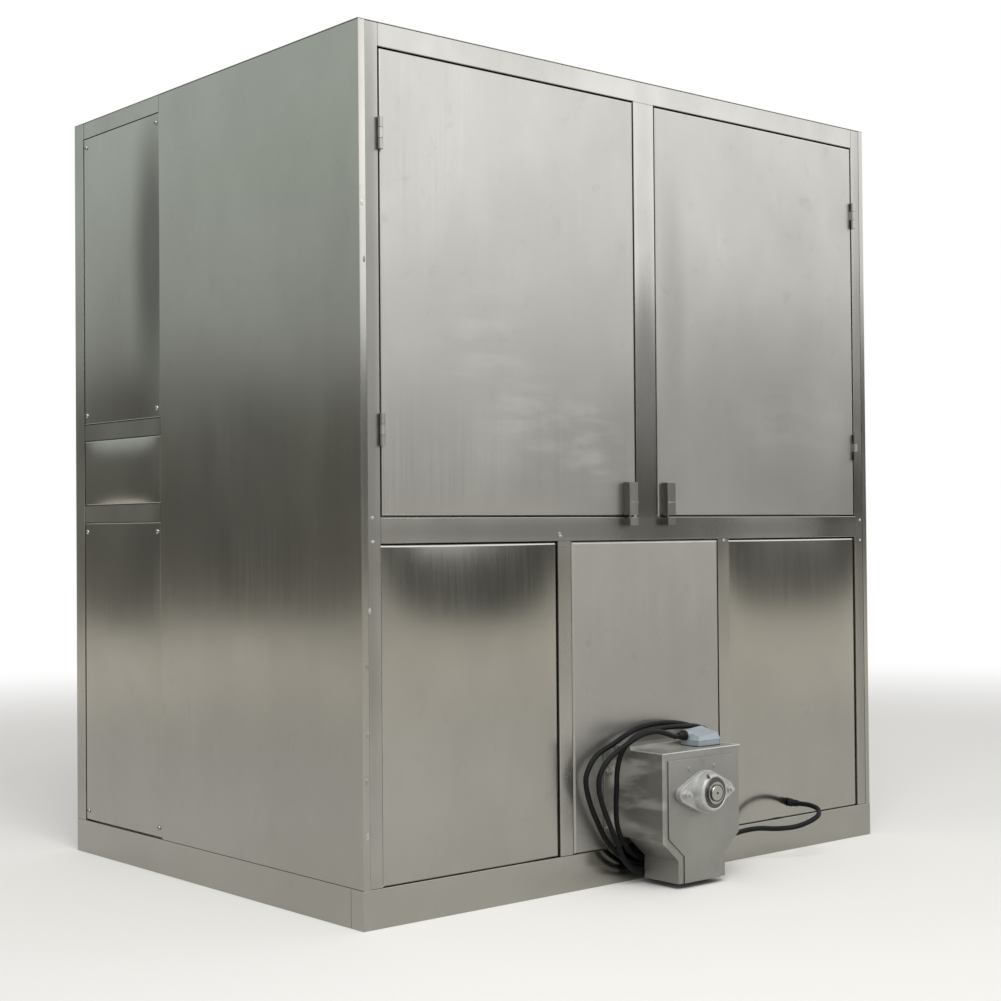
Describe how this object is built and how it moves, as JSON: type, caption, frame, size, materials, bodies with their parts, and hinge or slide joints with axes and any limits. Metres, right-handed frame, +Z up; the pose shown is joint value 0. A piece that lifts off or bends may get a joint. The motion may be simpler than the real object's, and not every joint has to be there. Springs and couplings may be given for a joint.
{
  "type": "industrial cube ice maker",
  "caption": "Free-standing stainless steel cube ice maker cabinet with hinged doors, screwed access panels and an auger outlet box with a chute and a flange bearing.",
  "frame": {"origin": "on the floor under the middle of the cabinet, at the underside of the base's middle beam", "axes": "+Z up, +X to the right along the front as a user faces it, +Y to the rear"},
  "size_m": [1.78, 1.5481, 2],
  "materials": {
    "polished_steel": "bright rolled stainless steel, welded and polished",
    "brushed_steel": "cold-rolled stainless sheet with a soft sheen",
    "matte_steel": "duller stainless sheet",
    "liner": "white insulated liner",
    "copper": "copper, tinned and plain",
    "silver_paint": "light silver-grey machine enamel on cast iron",
    "grey_paint": "grey machine enamel",
    "black_paint": "black enamel",
    "box_paint": "light grey powder coat",
    "grey_plastic": "moulded light grey plastic",
    "white_plastic": "white pipe plastic",
    "black_plastic": "black moulded plastic",
    "cable_rubber": "black rubber cable sheath",
    "brass": "turned brass"
  },
  "bodies": {
    "cabinet": {"auger_trough": "brushed_steel", "base_frame": "polished_steel", "bearing_housing": "silver_paint", "bulkhead": "liner", "cable_gland": "black_plastic", "compressor": "black_paint", "condenser": "black_paint", "electric_box": "box_paint", "evaporator_1": "copper", "evaporator_2": "copper", "evaporator_3": "copper", "evaporator_4": "copper", "evaporator_manifold": "copper", "evaporator_rail": "brushed_steel", "float_valve": "brass", "floor_pan": "brushed_steel", "front_frame": "polished_steel", "gear_motor": "grey_paint", "gearbox": "grey_paint", "ice_slide": "brushed_steel", "left_latch_keeper": "polished_steel", "left_lower_access_panel": "brushed_steel", "left_lower_hinge": "polished_steel", "left_middle_access_panel": "brushed_steel", "left_side_frame": "polished_steel", "left_side_panel": "brushed_steel", "left_upper_access_panel": "brushed_steel", "left_upper_hinge": "polished_steel", "liquid_line": "copper", "lower_left_panel": "brushed_steel", "lower_middle_panel": "matte_steel", "lower_right_panel": "brushed_steel", "outlet_body": "matte_steel", "outlet_cable": "cable_rubber", "outlet_front_plate": "matte_steel", "rear_frame": "polished_steel", "rear_panel": "brushed_steel", "right_latch_keeper": "polished_steel", "right_lower_access_panel": "brushed_steel", "right_lower_hinge": "polished_steel", "right_middle_access_panel": "brushed_steel", "right_side_frame": "polished_steel", "right_side_panel": "brushed_steel", "right_upper_access_panel": "brushed_steel", "right_upper_hinge": "polished_steel", "roof_panel": "brushed_steel", "suction_line": "copper", "switch_box": "grey_plastic", "water_header": "white_plastic", "water_pump": "black_plastic", "water_tank": "brushed_steel"},
    "left_door_body": {"left_door": "brushed_steel", "left_latch_plate": "polished_steel"},
    "right_door_body": {"right_door": "brushed_steel", "right_latch_plate": "polished_steel"},
    "left_bolt_body": {"left_latch_bolt": "polished_steel"},
    "right_bolt_body": {"right_latch_bolt": "polished_steel"},
    "auger": {"auger_shaft": "polished_steel", "auger_flight": "brushed_steel"},
    "float": {"float_arm": "white_plastic"}
  },
  "joints": [
    {"name": "left_door_hinge", "type": "hinge", "parent": "cabinet", "child": "left_door_body", "pos_m": [-0.83185, -0.6723, 1.4231], "axis": [0, 0, -1], "range_deg": [0, 110]},
    {"name": "left_latch_slide", "type": "slide", "parent": "left_door_body", "child": "left_bolt_body", "axis": [0, 0, 1], "range_m": [0, 0.02]},
    {"name": "right_door_hinge", "type": "hinge", "parent": "cabinet", "child": "right_door_body", "pos_m": [0.83185, -0.6723, 1.4231], "axis": [0, 0, 1], "range_deg": [0, 110]},
    {"name": "right_latch_slide", "type": "slide", "parent": "right_door_body", "child": "right_bolt_body", "axis": [0, 0, 1], "range_m": [0, 0.02]},
    {"name": "auger_spin", "type": "hinge", "parent": "cabinet", "child": "auger", "pos_m": [0.014, -0.8, 0.231], "axis": [0, 1, 0], "continuous": true},
    {"name": "float_swing", "type": "hinge", "parent": "cabinet", "child": "float", "pos_m": [-0.721, -0.15, 0.255], "axis": [0, -1, 0], "range_deg": [0, 20]}
  ]
}
